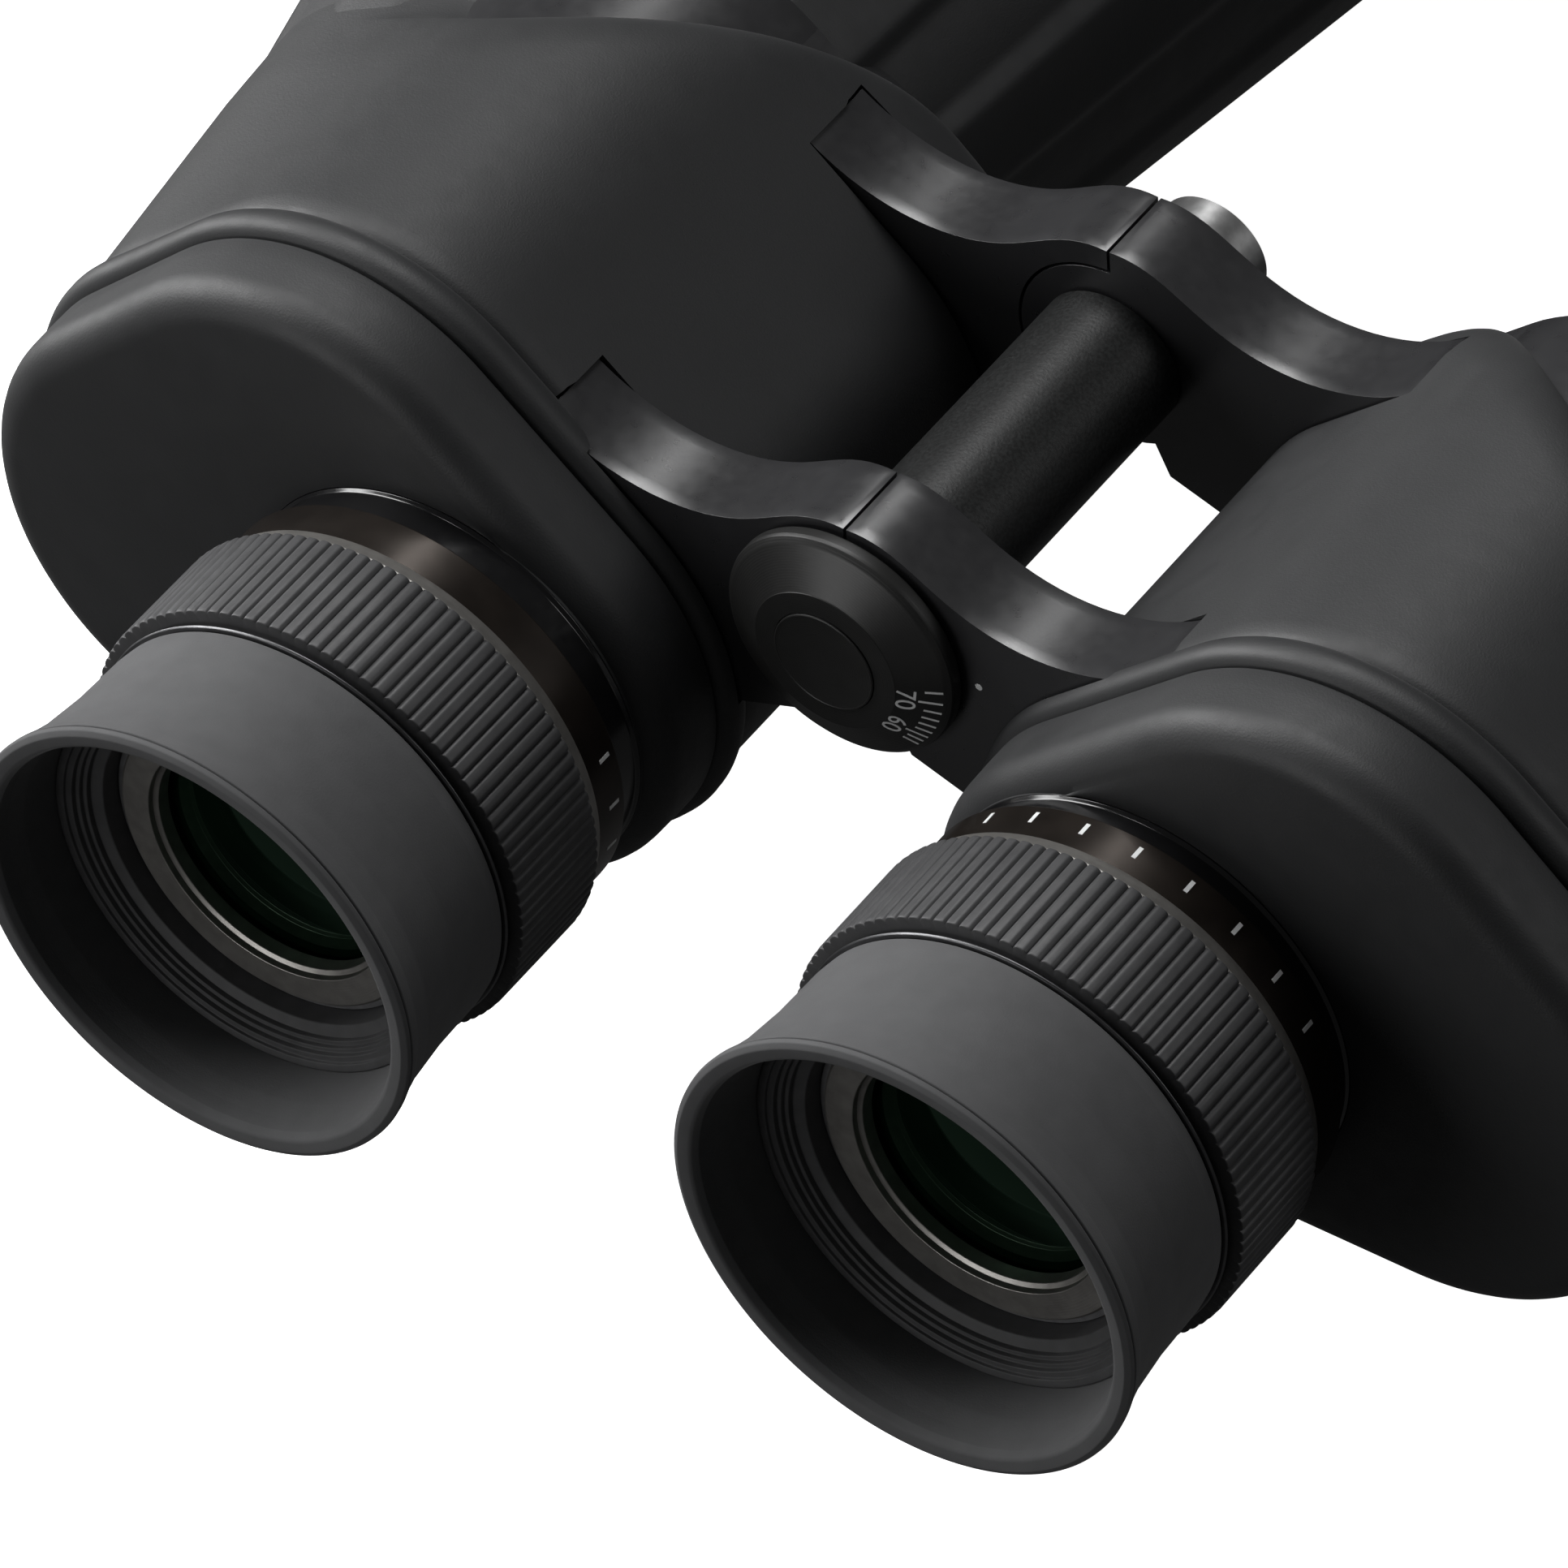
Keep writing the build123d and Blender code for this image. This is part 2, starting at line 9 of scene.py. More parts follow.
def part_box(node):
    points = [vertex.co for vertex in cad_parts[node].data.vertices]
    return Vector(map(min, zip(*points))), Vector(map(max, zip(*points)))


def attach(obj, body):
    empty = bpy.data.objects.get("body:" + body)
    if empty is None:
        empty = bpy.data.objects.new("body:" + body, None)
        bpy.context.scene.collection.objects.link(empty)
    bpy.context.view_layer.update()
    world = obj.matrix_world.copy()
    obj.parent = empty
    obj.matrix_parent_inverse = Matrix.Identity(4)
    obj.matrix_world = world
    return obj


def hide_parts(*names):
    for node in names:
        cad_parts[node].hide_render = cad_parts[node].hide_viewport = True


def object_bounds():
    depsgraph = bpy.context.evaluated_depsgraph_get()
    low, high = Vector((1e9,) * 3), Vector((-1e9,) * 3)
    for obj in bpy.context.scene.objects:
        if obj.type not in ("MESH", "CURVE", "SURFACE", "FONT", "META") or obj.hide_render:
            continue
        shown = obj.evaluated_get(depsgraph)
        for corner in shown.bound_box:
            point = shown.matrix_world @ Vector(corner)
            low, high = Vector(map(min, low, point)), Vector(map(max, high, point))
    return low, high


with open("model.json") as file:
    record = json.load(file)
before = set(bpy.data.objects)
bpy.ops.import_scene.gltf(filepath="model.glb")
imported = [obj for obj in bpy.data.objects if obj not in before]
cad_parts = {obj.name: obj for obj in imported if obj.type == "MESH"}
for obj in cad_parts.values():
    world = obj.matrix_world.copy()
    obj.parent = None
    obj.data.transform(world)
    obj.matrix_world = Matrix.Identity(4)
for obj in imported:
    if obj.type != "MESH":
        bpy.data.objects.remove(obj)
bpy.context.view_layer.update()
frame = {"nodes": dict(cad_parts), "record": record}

# Looks for the folding binoculars. Lengths below are in millimetres unless they are coordinates
# in the row frame, which are metres. A "station" is a distance ahead of the dial's rim.
MM = 0.001


# ---------------------------------------------------------------- places, read from the frame
def middle(node):
    low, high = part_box(node)
    return (low + high) / 2


RIM_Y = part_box("right_body_armour")[0].y
EYE = middle("right_eyepiece_collar")
OBJECTIVE = middle("right_barrel_armour")
EYE_X, EYE_Z = EYE.x / MM, EYE.z / MM
OBJECTIVE_X, OBJECTIVE_Z = OBJECTIVE.x / MM, OBJECTIVE.z / MM
LEFT_OUT = (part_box("right_eyecup")[0].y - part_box("left_eyecup")[0].y) / MM
SIDES = {"left": -1, "right": 1}

# prism housing outline: the hull of three circles, as in the CAD
EYE_LOBE_R = 22.5
CROWN = (51.0, -3.0, 23.5)
BARREL_R0, BARREL_TAPER = 24.0, 0.115
CONE_END, BELL_START, BELL_FRONT, BELL_R = 164.0, 168.0, 234.0, 43.4
ARMOUR_SKIN = 1.6

# hinge
ARM_T, REAR_ARM, FRONT_ARM = 8.1, 1.9, 42.1
ARM_TOP = [(14.0, 6.8), (19.0, 6.2), (25.0, 7.2), (31.0, 10.3)]
ARM_ROOT = [(37.0, 6.0), (25.0, -17.0), (12.0, -14.2)]
NOTCH_GAP = 0.32
SPACING_MAX, SPACING_MIN = 72, 56
SPACING_ARM = math.hypot(EYE_X, EYE_Z)


def place(x, station, z):
    """Row-frame point, in metres, from millimetres and a station."""
    return Vector((x * MM, RIM_Y + station * MM, z * MM))


def smoothstep(t):
    t = min(1.0, max(0.0, t))
    return t * t * (3 - 2 * t)


def barrel_r(station):
    return BARREL_R0 + BARREL_TAPER * station


# ---------------------------------------------------------------- mesh helpers
def finish_mesh(name, bm, sharp=38.0):
    """Turns a bmesh into an object with smooth faces, sharp where faces meet at more than an angle."""
    bmesh.ops.recalc_face_normals(bm, faces=bm.faces)
    for face in bm.faces:
        face.smooth = True
    for edge in bm.edges:
        edge.smooth = not (edge.is_manifold and edge.calc_face_angle(0) > math.radians(sharp))
    mesh = bpy.data.meshes.new(name)
    bm.to_mesh(mesh)
    bm.free()
    obj = bpy.data.objects.new(name, mesh)
    bpy.context.scene.collection.objects.link(obj)
    return obj


def ring_solid(name, rings, loop=True, sharp=38.0):
    """Skin over rings of points. A ring of one point is a pole; loop joins the last ring to the first."""
    bm = bmesh.new()
    made = [[bm.verts.new(point) for point in ring] for ring in rings]
    pairs = list(zip(made, made[1:])) + ([(made[-1], made[0])] if loop else [])
    for one, two in pairs:
        count = max(len(one), len(two))
        for index in range(count):
            following = (index + 1) % count
            if len(one) == 1:
                bm.faces.new((one[0], two[index], two[following]))
            elif len(two) == 1:
                bm.faces.new((one[index], one[following], two[0]))
            else:
                bm.faces.new((one[index], one[following], two[following], two[index]))
    return finish_mesh(name, bm, sharp)


def rounded(corners, steps=4):
    """Closed profile of (radius, station, rounding) with its corners turned into arcs."""
    points = []
    count = len(corners)
    for index, corner in enumerate(corners):
        here = Vector(corner[:2])
        size = corner[2] if len(corner) > 2 else 0.0
        before = Vector(corners[index - 1][:2]) - here
        after = Vector(corners[(index + 1) % count][:2]) - here
        turn = before.angle(after, math.pi) if before.length and after.length else math.pi
        if size <= 0 or turn > math.radians(178):
            points.append(here)
            continue
        reach = min(size / math.tan(turn / 2), before.length * 0.49, after.length * 0.49)
        radius = reach * math.tan(turn / 2)
        centre = here + (before.normalized() + after.normalized()).normalized() * (
            radius / math.sin(turn / 2))
        first = here + before.normalized() * reach - centre
        last = here + after.normalized() * reach - centre
        for step in range(steps + 1):
            mix = first.lerp(last, step / steps)
            points.append(centre + mix.normalized() * radius)
    return points


def turned(name, axis, profile, segments=160, rise=None, steps=4, sharp=38.0):
    """Solid of revolution about a line along Y through axis, in mm. rise(angle, radius, station)
    moves a point outward."""
    rings = []
    for radius, station in rounded(profile, steps):
        if radius < 1e-4:
            rings.append([place(axis[0], station, axis[1])])
            continue
        ring = []
        for index in range(segments):
            angle = 2 * math.pi * index / segments
            reach = radius + (rise(angle, radius, station) if rise else 0.0)
            ring.append(place(axis[0] + reach * math.cos(angle), station,
                              axis[1] + reach * math.sin(angle)))
        rings.append(ring)
    return ring_solid(name, rings, loop=len(rings[0]) > 1 or len(rings[-1]) > 1, sharp=sharp)


def even_normals(obj):
    modifier = obj.modifiers.new("weighted", "WEIGHTED_NORMAL")
    modifier.keep_sharp = True
    return obj


def cut(obj, cutter):
    """Takes the cutter's shape out of obj, for good."""
    modifier = obj.modifiers.new("cut", "BOOLEAN")
    modifier.operation = "DIFFERENCE"
    modifier.solver = "EXACT"
    modifier.object = cutter
    graph = bpy.context.evaluated_depsgraph_get()
    mesh = bpy.data.meshes.new_from_object(obj.evaluated_get(graph))
    obj.modifiers.clear()
    obj.data = mesh
    bpy.data.objects.remove(cutter)
    bm = bmesh.new()
    bm.from_mesh(mesh)
    for face in bm.faces:
        face.smooth = True
    for edge in bm.edges:
        edge.smooth = not (edge.is_manifold and edge.calc_face_angle(0) > math.radians(38))
    bm.to_mesh(mesh)
    bm.free()


def dress(obj, body, slot, material, *nodes):
    """Gives a piece its body, material and the CAD nodes it stands for. The slot argument is not used."""
    obj.data.materials.clear()
    obj.data.materials.append(material)
    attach(obj, body)
    if nodes:
        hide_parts(*nodes)
    return obj


# ---------------------------------------------------------------- materials
class Look:
    """A node material built around one Principled shader."""

    def __init__(self, name, colour, roughness, metallic=0.0, **sockets):
        self.material = bpy.data.materials.new(name)
        self.material.use_nodes = True
        self.tree = self.material.node_tree
        self.nodes, self.links = self.tree.nodes, self.tree.links
        self.shader = self.nodes["Principled BSDF"]
        self.set("Base Color", (*colour, 1.0))
        self.set("Roughness", roughness)
        self.set("Metallic", metallic)
        for socket, value in sockets.items():
            self.set(socket.replace("_", " "), value)
        self.colour, self.roughness = colour, roughness
        self.coords = self.nodes.new("ShaderNodeTexCoord").outputs["Object"]
        self.height = None

    def set(self, socket, value):
        self.shader.inputs[socket].default_value = value

    def noise(self, per_metre, detail=2.0, stretch=None):
        texture = self.nodes.new("ShaderNodeTexNoise")
        texture.inputs["Scale"].default_value = per_metre
        texture.inputs["Detail"].default_value = detail
        if stretch:
            mapping = self.nodes.new("ShaderNodeMapping")
            mapping.inputs["Scale"].default_value = stretch
            self.links.new(self.coords, mapping.inputs["Vector"])
            self.links.new(mapping.outputs["Vector"], texture.inputs["Vector"])
        else:
            self.links.new(self.coords, texture.inputs["Vector"])
        return texture.outputs["Fac"]

    def ramp(self, value, low, high, start=0.3, end=0.7):
        ramp = self.nodes.new("ShaderNodeValToRGB")
        ramp.color_ramp.elements[0].position = start
        ramp.color_ramp.elements[1].position = end
        ramp.color_ramp.elements[0].color = (*low, 1.0)
        ramp.color_ramp.elements[1].color = (*high, 1.0)
        self.links.new(value, ramp.inputs["Fac"])
        return ramp.outputs["Color"]

    def tint(self, value, spread, start=0.3, end=0.7):
        """Base colour wanders between darker and lighter by the share spread."""
        low = tuple(c * (1 - spread) for c in self.colour)
        high = tuple(c * (1 + spread) for c in self.colour)
        self.links.new(self.ramp(value, low, high, start, end), self.shader.inputs["Base Color"])
        return self

    def wear(self, value, spread, start=0.3, end=0.7):
        """Roughness wanders by the amount spread."""
        low = (self.roughness - spread,) * 3
        high = (self.roughness + spread,) * 3
        self.links.new(self.ramp(value, low, high, start, end), self.shader.inputs["Roughness"])
        return self

    def bump(self, value, depth, strength=1.0):
        """Relief of the given depth in metres; calls add up."""
        node = self.nodes.new("ShaderNodeBump")
        node.inputs["Strength"].default_value = strength
        node.inputs["Distance"].default_value = depth
        self.links.new(value, node.inputs["Height"])
        if self.height is not None:
            self.links.new(self.height, node.inputs["Normal"])
        self.height = node.outputs["Normal"]
        self.links.new(self.height, self.shader.inputs["Normal"])
        return self

    def rings(self, axis, per_metre):
        """Fine turning marks round a line along Y through axis, in metres."""
        mapping = self.nodes.new("ShaderNodeMapping")
        mapping.inputs["Location"].default_value = (-axis[0], 0.0, -axis[1])
        self.links.new(self.coords, mapping.inputs["Vector"])
        wave = self.nodes.new("ShaderNodeTexWave")
        wave.wave_type = "RINGS"
        wave.rings_direction = "Y"
        wave.inputs["Scale"].default_value = per_metre
        wave.inputs["Distortion"].default_value = 1.5
        wave.inputs["Detail"].default_value = 3.0
        self.links.new(mapping.outputs["Vector"], wave.inputs["Vector"])
        return wave.outputs["Fac"]


def armour_rubber():
    look = Look("armour_rubber", (0.0155, 0.016, 0.017), 0.56, Specular_IOR_Level=0.5,
                Sheen_Weight=0.06, Sheen_Roughness=0.4)
    look.tint(look.noise(60, 3.0), 0.12)
    look.wear(look.noise(400, 3.0), 0.035)
    look.bump(look.noise(5200, 2.0), 0.000035, 0.55)
    look.bump(look.noise(1500, 2.0), 0.00004, 0.18)
    return look.material


def cup_rubber():
    look = Look("eyecup_rubber", (0.072, 0.0725, 0.075), 0.78, Specular_IOR_Level=0.4,
                Sheen_Weight=0.12, Sheen_Roughness=0.5)
    look.tint(look.noise(400, 2.0), 0.06)
    look.wear(look.noise(300, 2.0), 0.04)
    look.bump(look.noise(6000, 2.0), 0.00003, 0.5)
    return look.material


def enamel():
    look = Look("satin_enamel", (0.021, 0.021, 0.0225), 0.3, Specular_IOR_Level=0.9)
    look.tint(look.noise(90, 2.0), 0.1)
    look.wear(look.noise(700, 3.0), 0.03)
    look.bump(look.noise(3800, 2.0), 0.00001, 0.35)
    return look.material


def speckled_enamel():
    look = Look("speckled_enamel", (0.009, 0.0095, 0.0095), 0.42, Specular_IOR_Level=0.45)
    look.tint(look.noise(3200, 2.0), 0.5, 0.4, 0.62)
    look.bump(look.noise(3600, 2.0), 0.00003, 0.55)
    return look.material


def gloss_anodised():
    look = Look("gloss_anodised", (0.006, 0.006, 0.0065), 0.16, Specular_IOR_Level=0.65)
    look.tint(look.noise(200, 2.0), 0.15)
    look.wear(look.noise(900, 2.0), 0.03)
    return look.material


def ring_anodised():
    look = Look("ring_anodised", (0.06, 0.06, 0.062), 0.5, 0.2, Specular_IOR_Level=0.4)
    look.tint(look.noise(500, 3.0), 0.12)
    look.wear(look.noise(1200, 2.0), 0.05)
    look.bump(look.noise(4000, 2.0), 0.00001, 0.4)
    return look.material


def head_paint():
    look = Look("matte_head_paint", (0.06, 0.06, 0.062), 0.55, Specular_IOR_Level=0.4)
    look.tint(look.noise(600, 3.0), 0.12)
    look.bump(look.noise(3500, 2.0), 0.00001, 0.4)
    return look.material


def bronzed_skirt(name, axis):
    look = Look(name, (0.032, 0.026, 0.022), 0.24, 0.7)
    look.tint(look.noise(300, 2.0), 0.2)
    look.bump(look.rings(axis, 1500), 0.000006, 0.4)
    return look.material


def trim_metal(name, axis):
    look = Look(name, (0.12, 0.12, 0.124), 0.34, 0.9)
    look.tint(look.noise(800, 2.0), 0.12)
    look.bump(look.rings(axis, 2000), 0.000005, 0.4)
    return look.material


def satin_metal(name, axis):
    look = Look(name, (0.3, 0.29, 0.275), 0.42, 0.85)
    look.tint(look.noise(700, 2.0), 0.12)
    look.bump(look.rings(axis, 1200), 0.00001, 0.5)
    return look.material


def dial_metal(name, axis):
    look = Look(name, (0.013, 0.013, 0.0127), 0.4, Specular_IOR_Level=0.4)
    look.tint(look.noise(500, 2.0), 0.1)
    look.bump(look.rings(axis, 1500), 0.000008, 0.5)
    return look.material


# Coated lens glass. The specular and coat tints give real coloured reflections; the slight green and
# blue-green in the base colour is painted coating reflection.
def coated_glass(name, colour, shine):
    look = Look(name, colour, 0.04, Specular_IOR_Level=0.6, Specular_Tint=(*shine, 1.0),
                Coat_Weight=0.5, Coat_Roughness=0.03, Coat_Tint=(*shine, 1.0))
    look.tint(look.noise(120, 1.0), 0.3)
    return look.material


def clear_glass():
    look = Look("prism_glass", (0.8, 0.86, 0.86), 0.03, Transmission_Weight=1.0, IOR=1.52)
    look.wear(look.noise(300, 1.0), 0.01)
    return look.material


def bare_metal(name, colour, roughness):
    look = Look(name, colour, roughness, 1.0)
    look.tint(look.noise(900, 3.0), 0.15)
    look.bump(look.noise(2500, 2.0), 0.000008, 0.4)
    return look.material


def soft_seal():
    look = Look("seal_rubber", (0.012, 0.012, 0.012), 0.7)
    look.tint(look.noise(900, 2.0), 0.2)
    return look.material


def mark_paint():
    look = Look("mark_paint", (0.72, 0.73, 0.73), 0.45)
    look.tint(look.noise(1500, 2.0), 0.08)
    return look.material


RUBBER, CUP, ENAMEL, SPECKLED = armour_rubber(), cup_rubber(), enamel(), speckled_enamel()
GLOSS, RING, SEAL, PAINT, HEAD = gloss_anodised(), ring_anodised(), soft_seal(), mark_paint(), head_paint()
BRONZE = bare_metal("bearing_bronze", (0.42, 0.29, 0.14), 0.38)
STEEL = bare_metal("plain_steel", (0.5, 0.5, 0.5), 0.35)
CASTING = bare_metal("machined_alloy", (0.34, 0.34, 0.35), 0.42)
PRISM = clear_glass()
# The slight green and blue-green in these two base colours is painted coating reflection.
EYE_GLASS = coated_glass("eye_lens_coating_painted_tint", (0.002, 0.005, 0.003), (0.25, 0.95, 0.5))
FRONT_GLASS = coated_glass("objective_coating_painted_tint", (0.008, 0.02, 0.024), (0.35, 0.75, 0.95))
DIAL = dial_metal("dial_face", (0.0, 0.0))

SLOT_LOOKS = {
    "black_metal": ENAMEL, "rubber": RUBBER, "alloy": CASTING, "seal": SEAL, "steel": STEEL,
    "prism_glass": PRISM, "lens_glass": FRONT_GLASS, "gloss_black": GLOSS, "ring_black": RING,
    "trim": STEEL, "cup_rubber": CUP, "satin_grey": CASTING, "sleeve": SPECKLED, "bronze": BRONZE,
    "dial": DIAL,
}


def dress_cad_nodes():
    """Every CAD node that stays in view gets the look of its record slot."""
    for part in frame["record"]["subparts"]:
        node = frame["nodes"][part["node"]]
        node.data.materials.clear()
        node.data.materials.append(SLOT_LOOKS[part["material_slot"]])


# ---------------------------------------------------------------- housing outline
def hull_tangents(circles):
    """Tangent segments of the hull of circles (x, z, r), given anticlockwise."""
    segments = []
    for (x0, z0, r0), (x1, z1, r1) in zip(circles, circles[1:] + circles[:1]):
        gap = math.hypot(x1 - x0, z1 - z0)
        along = Vector(((x1 - x0) / gap, (z1 - z0) / gap))
        lean = (r0 - r1) / gap
        side = math.sqrt(1 - lean * lean)
        normal = Vector((along.y * side + along.x * lean, -along.x * side + along.y * lean))
        segments.append((Vector((x0, z0)) + normal * r0, Vector((x1, z1)) + normal * r1))
    return segments


def outline_reach(angle, station, grow=0.0):
    """Distance from the objective axis to the housing's outline, in a direction."""
    circles = [(EYE_X, EYE_Z, EYE_LOBE_R + grow),
               (OBJECTIVE_X, OBJECTIVE_Z, barrel_r(station) + grow),
               (CROWN[0], CROWN[1], CROWN[2] + grow)]
    origin = Vector((OBJECTIVE_X, OBJECTIVE_Z))
    ray = Vector((math.cos(angle), math.sin(angle)))
    best = circles[1][2]
    for x, z, radius in circles:
        offset = Vector((x, z)) - origin
        along = offset.dot(ray)
        inside = radius * radius - (offset.length_squared - along * along)
        if inside > 0:
            best = max(best, along + math.sqrt(inside))
    for start, end in hull_tangents(circles):
        edge = end - start
        cross = ray.x * edge.y - ray.y * edge.x
        if abs(cross) < 1e-9:
            continue
        offset = start - origin
        reach = (offset.x * edge.y - offset.y * edge.x) / cross
        share = (offset.x * ray.y - offset.y * ray.x) / cross
        if reach > 0 and 0 <= share <= 1:
            best = max(best, reach)
    return best


def outline_columns(count=260, fine=1440):
    """Directions from the objective axis that are evenly spaced along the outline."""
    angles = [2 * math.pi * k / fine for k in range(fine + 1)]
    points = [Vector((math.cos(a), math.sin(a))) * outline_reach(a, 0) for a in angles]
    lengths = [0.0]
    for one, two in zip(points, points[1:]):
        lengths.append(lengths[-1] + (two - one).length)
    columns, k = [], 0
    for index in range(count):
        goal = lengths[-1] * index / count
        while lengths[k + 1] < goal:
            k += 1
        share = (goal - lengths[k]) / (lengths[k + 1] - lengths[k])
        columns.append(angles[k] + (angles[k + 1] - angles[k]) * share)
    return columns


COLUMNS = outline_columns()


def outline_ring(side, station, grow=0.0, shape=0.0, lift=None):
    """Ring of points on the outline of a station, grown outward; shape is the station whose
    outline is used, and lift(angle) moves each point along Y."""
    ring = []
    for angle in COLUMNS:
        reach = outline_reach(angle, shape, grow)
        shift = lift(angle) if lift else 0.0
        ring.append(place(side * (OBJECTIVE_X + reach * math.cos(angle)), station + shift,
                          OBJECTIVE_Z + reach * math.sin(angle)))
    return ring


# ---------------------------------------------------------------- body armour
BEAD = [(0.0, -0.9), (0.1, -0.15), (0.35, 0.42), (0.85, 0.84), (1.6, 1.05), (2.3, 1.0), (2.95, 0.78),
        (3.45, 0.42), (3.72, 0.0), (3.82, -0.42), (4.02, -0.5), (4.3, -0.3), (4.8, -0.08), (6.4, 0.0)]
SHOULDER_OUTER, SHOULDER_INNER = 34.0, 56.0    # where the housing's front shoulder ends
SHOULDER_LENGTH = 13.0
SHOULDER_SINK = 0.5


def shoulder_station(angle):
    """The shoulder stands furthest forward on the hinge side and fades out on the outer side."""
    away = abs(math.degrees(angle) - 180.0)
    return SHOULDER_OUTER + (SHOULDER_INNER - SHOULDER_OUTER) * smoothstep((90.0 - away) / 66.0)


def shoulder_profile():
    """(share of the shoulder's length, share of the drop to the barrel)."""
    crown = [(0.46 * math.sin(a), 0.24 * (1 - math.cos(a)))
             for a in [math.radians(deg) for deg in range(0, 91, 10)]]
    slope = [(0.475, 0.33), (0.5, 0.45), (0.53, 0.58), (0.57, 0.70)]
    foot = [(0.63, 0.80), (0.70, 0.88), (0.78, 0.94), (0.88, 0.985), (1.0, 1.0)]
    return crown + slope + foot


def armour_ring(side, along, inset=0.0):
    """Ring of the armour past the bead. along 0 to 1 is the body up to the shoulder, 1 to 2 the
    shoulder itself."""
    profile = shoulder_profile()
    ring = []
    start = BEAD[-1][0]
    for angle in COLUMNS:
        end = shoulder_station(angle) - 0.46 * SHOULDER_LENGTH
        if along <= 1:
            station = start + (end - start) * along
            reach = outline_reach(angle, station, -inset)
        else:
            length, drop = profile[round((along - 1) * (len(profile) - 1))]
            station = end + SHOULDER_LENGTH * length
            outer = outline_reach(angle, min(station, 52), 0)
            floor = barrel_r(station) - SHOULDER_SINK * length
            reach = outer + (floor - outer) * drop - inset
            reach -= SHOULDER_SINK * length * (1 - drop)
        ring.append(place(side * (OBJECTIVE_X + reach * math.cos(angle)), station,
                          OBJECTIVE_Z + reach * math.sin(angle)))
    return ring


def offset_polygon(points, amount):
    """Grows a closed outline, given anticlockwise, by moving its edges outward."""
    grown = []
    count = len(points)
    for index, here in enumerate(points):
        before = (here - points[index - 1]).normalized()
        after = (points[(index + 1) % count] - here).normalized()
        out = Vector((before.y + after.y, -before.x - after.x)).normalized()
        scale = 1 / max(0.4, math.sqrt((1 + before.dot(after)) / 2))
        grown.append(here + out * amount * scale)
    return grown


def smooth_path(points, steps=6):
    """Catmull-Rom curve through points."""
    ends = [points[0] * 2 - points[1]] + points + [points[-1] * 2 - points[-2]]
    path = []
    for a, b, c, d in zip(ends, ends[1:], ends[2:], ends[3:]):
        for step in range(steps):
            t = step / steps
            path.append(0.5 * ((2 * b) + (c - a) * t + (2 * a - 5 * b + 4 * c - d) * t * t
                               + (3 * b - a - 3 * c + d) * t * t * t))
    return path + [points[-1]]


def arm_cutter(side, start):
    """Shape of an arm where it passes the armour, with a little room round it."""
    top = smooth_path([Vector(p) for p in ARM_TOP])
    root = [Vector(p) for p in reversed(ARM_ROOT)]
    outline = offset_polygon(list(reversed(top)) + root, NOTCH_GAP)
    ends = [[place(side * p.x, station, p.y) for p in outline]
            for station in (start - NOTCH_GAP, start + ARM_T + NOTCH_GAP)]
    bm = bmesh.new()
    rings = [[bm.verts.new(p) for p in ring] for ring in ends]
    count = len(outline)
    for k in range(count):
        bm.faces.new((rings[0][k], rings[0][(k + 1) % count], rings[1][(k + 1) % count], rings[1][k]))
    bm.faces.new(rings[0])
    bm.faces.new(rings[1])
    return finish_mesh("cutter", bm)


def make_body_armour(side, name):
    rows = len(shoulder_profile())
    outer = [outline_ring(side, station, grow, station) for station, grow in BEAD]
    body_rows = 14
    outer += [armour_ring(side, k / body_rows) for k in range(1, body_rows)]
    outer += [armour_ring(side, 1 + k / (rows - 1)) for k in range(rows)]
    inner = [armour_ring(side, 1 + k / (rows - 1), ARMOUR_SKIN) for k in range(rows - 1, -1, -3)]
    inner += [armour_ring(side, k / 4, ARMOUR_SKIN) for k in range(3, 0, -1)]
    inner += [outline_ring(side, 0.0, -ARMOUR_SKIN, 0.0)]
    armour = ring_solid(f"{name}_body_armour_skin", outer + inner)
    cut(armour, arm_cutter(side, REAR_ARM))
    cut(armour, arm_cutter(side, FRONT_ARM))
    dress(armour, f"{name}_half", "rubber", RUBBER, f"{name}_body_armour")


# ---------------------------------------------------------------- rear cover pad
PAD_EDGE, PAD_ROUND, PAD_DOME = -8.5, 3.4, 0.35
PAD_BORE_R = 20.3


def make_cover_pad(side, name):
    profile = [(-0.1, -0.6), (-0.2, -0.12), (-0.55, 0.0), (-2.5, 0.0), (PAD_EDGE + PAD_ROUND, -0.05)]
    for deg in range(10, 91, 10):
        a = math.radians(deg)
        profile.append((PAD_EDGE + PAD_ROUND - PAD_ROUND * math.sin(a),
                        -0.05 - PAD_ROUND * (1 - math.cos(a))))
    rings = [outline_ring(side, station, grow) for station, grow in profile]
    edge = rings[-1]
    centre = Vector((side * EYE_X * MM, EYE_Z * MM))
    for share in (0.06, 0.16, 0.3, 0.5, 0.7, 0.85, 0.95, 1.0):
        ring = []
        for point in edge:
            out = Vector((point.x, point.z)) - centre
            goal = centre + out.normalized() * PAD_BORE_R * MM
            here = Vector((point.x, point.z)).lerp(goal, share)
            dome = PAD_DOME * math.sin(math.pi * share) * min(1.0, out.length / MM / 45)
            ring.append(Vector((here.x, point.y - dome * MM, here.y)))
        rings.append(ring)
    for station in (PAD_EDGE + 0.5, -0.1):
        rings.append([Vector((p.x, RIM_Y + station * MM, p.z)) for p in rings[-1]])
    pad = ring_solid(f"{name}_rear_pad", rings)
    dress(pad, f"{name}_half", "rubber", RUBBER, f"{name}_cover_pad")


# ---------------------------------------------------------------- barrel armour
STRIPS, STRIP_HEIGHT, STRIP_EDGE = 10, 0.9, 0.13
STRIP_PHASE = math.radians(135.0)


